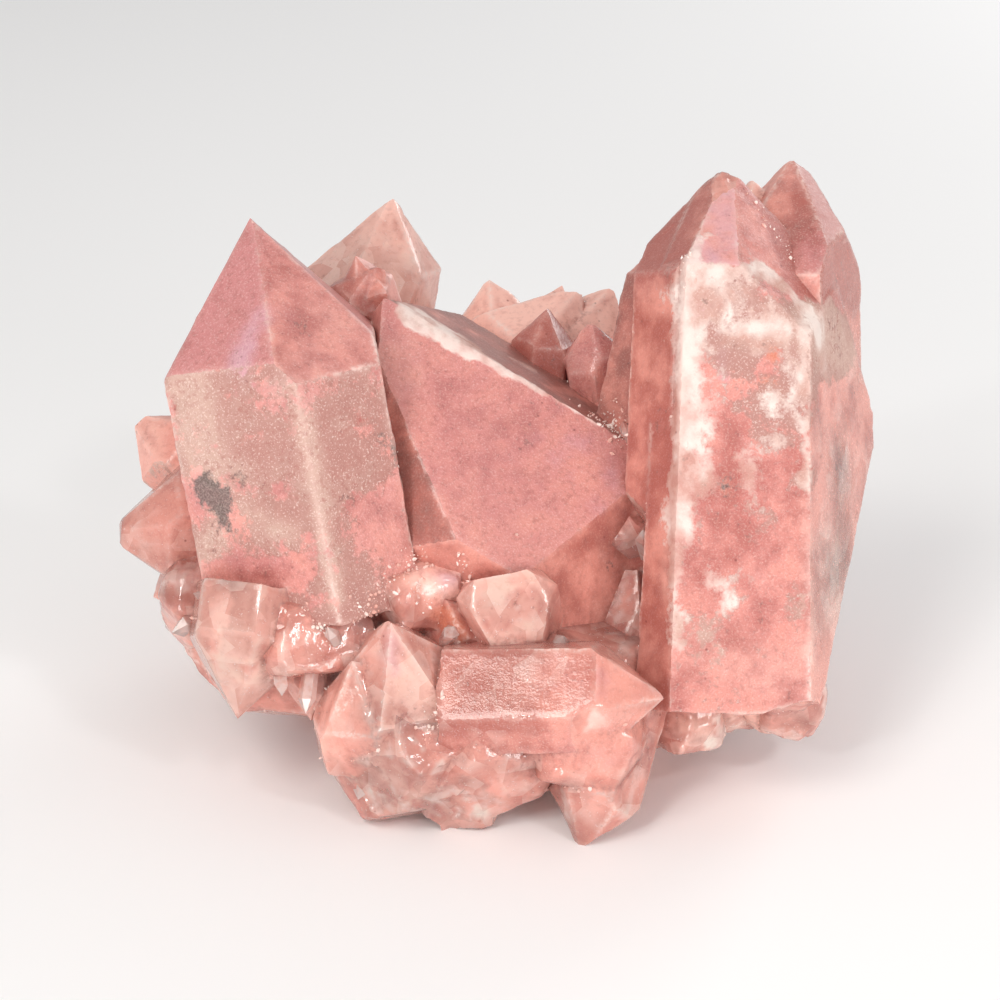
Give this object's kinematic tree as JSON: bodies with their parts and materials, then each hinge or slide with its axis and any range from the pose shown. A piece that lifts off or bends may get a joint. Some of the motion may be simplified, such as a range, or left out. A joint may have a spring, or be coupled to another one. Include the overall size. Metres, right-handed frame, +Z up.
{
  "type": "pink quartz crystal cluster",
  "caption": "Cluster of pink quartz points of mixed size grown together on a rough root, cut flat where it rests.",
  "frame": {"origin": "on the flat broken underside, below the middle of the cluster", "axes": "+Z up, +X towards the tall right point, -Y towards the show side that the picture looks at"},
  "size_m": [0.0808, 0.0634, 0.0593],
  "materials": {
    "quartz": "natural crystal faces from glassy to matt, salmon pink, with cream coats and clear tips"
  },
  "bodies": {
    "root": {"quartz_cluster": "quartz"}
  },
  "joints": []
}
